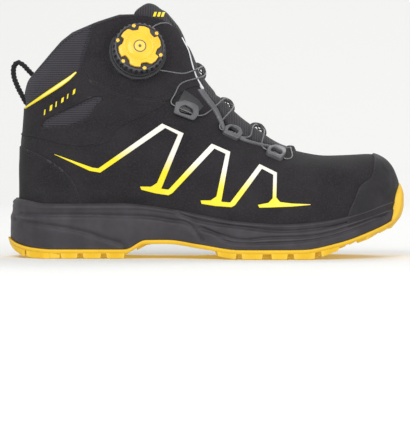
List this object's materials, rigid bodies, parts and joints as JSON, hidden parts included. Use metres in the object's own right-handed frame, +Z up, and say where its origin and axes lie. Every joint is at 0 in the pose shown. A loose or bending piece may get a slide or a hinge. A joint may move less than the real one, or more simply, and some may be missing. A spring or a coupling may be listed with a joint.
{
  "type": "hiking boot",
  "caption": "Right mid-height safety hiking boot with a padded tongue, lugged outsole, heel pull loop and a dial on the ankle that winds a thin lace cable.",
  "frame": {"origin": "on the ground under the middle of the boot's bounding box", "axes": "+X towards the toe, +Z up, +Y towards the medial side of this right boot; the lateral side with the dial faces -Y"},
  "size_m": [0.307, 0.116, 0.1972],
  "materials": {
    "nubuck": "suede-like black nubuck, matt",
    "textile": "dark grey ribbed and padded textile",
    "rubber_black": "matt black scuff rubber",
    "foam_black": "matt black moulded foam with grooves",
    "rubber_yellow": "yellow outsole rubber, satin",
    "plastic_black": "black nylon, fine grain",
    "plastic_yellow": "yellow moulded plastic",
    "print": "bonded film, white fading to yellow",
    "reflective": "silver-white reflective tape",
    "composite": "grey fibre composite, hidden",
    "steel": "thin stranded steel cable",
    "webbing": "black woven webbing"
  },
  "bodies": {
    "boot": {"ankle_window_lateral": "textile", "ankle_window_medial": "textile", "collar_lateral": "textile", "collar_medial": "textile", "collar_padding": "textile", "dial_base": "plastic_black", "eyestay_lateral": "plastic_black", "eyestay_medial": "plastic_black", "footbed": "textile", "graphic_lateral": "print", "graphic_medial": "print", "gusset_lateral": "textile", "gusset_medial": "textile", "heel_counter": "nubuck", "heel_stiffener": "composite", "lace": "steel", "lace_anchor": "plastic_black", "lace_arch_1": "plastic_black", "lace_arch_2": "plastic_black", "lace_arch_3": "plastic_black", "lace_guide_1": "plastic_black", "lace_guide_2": "plastic_black", "lace_guide_3": "plastic_black", "lace_return": "steel", "midsole": "foam_black", "outsole": "rubber_yellow", "piping_lateral": "print", "piping_medial": "print", "pull_loop": "webbing", "puncture_plate": "composite", "quarter_lateral": "nubuck", "quarter_medial": "nubuck", "reflective_strip": "reflective", "toe_bumper": "rubber_black", "toe_cap_insert": "composite", "vamp": "nubuck"},
    "tongue": {"tongue": "textile"},
    "dial_drive": {"pawl_disc": "plastic_black"},
    "dial_knob": {"dial_knob": "plastic_black", "dial_cap": "plastic_yellow"},
    "spool": {"spool": "plastic_black"}
  },
  "joints": [
    {"name": "tongue_flex", "type": "hinge", "parent": "boot", "child": "tongue", "pos_m": [0.06, 0.008, 0.085], "axis": [0, 1, 0], "range_deg": [0, 12], "deforming": ["lace", "lace_arch_1", "lace_arch_2", "lace_arch_3", "gusset_lateral", "gusset_medial"]},
    {"name": "dial_turn", "type": "hinge", "parent": "boot", "child": "dial_drive", "pos_m": [-0.05226, -0.02832, 0.15715], "axis": [0.1302, -0.9416, 0.3105], "continuous": true},
    {"name": "dial_pop", "type": "slide", "parent": "dial_drive", "child": "dial_knob", "axis": [0.1302, -0.9416, 0.3105], "range_m": [0, 0.003]},
    {"name": "spool_turn", "type": "hinge", "parent": "boot", "child": "spool", "pos_m": [-0.05226, -0.02832, 0.15715], "axis": [0.1302, -0.9416, 0.3105], "continuous": true}
  ],
  "couplings": [
    {"joint": "spool_turn", "follows": "dial_turn", "ratio": 1}
  ]
}
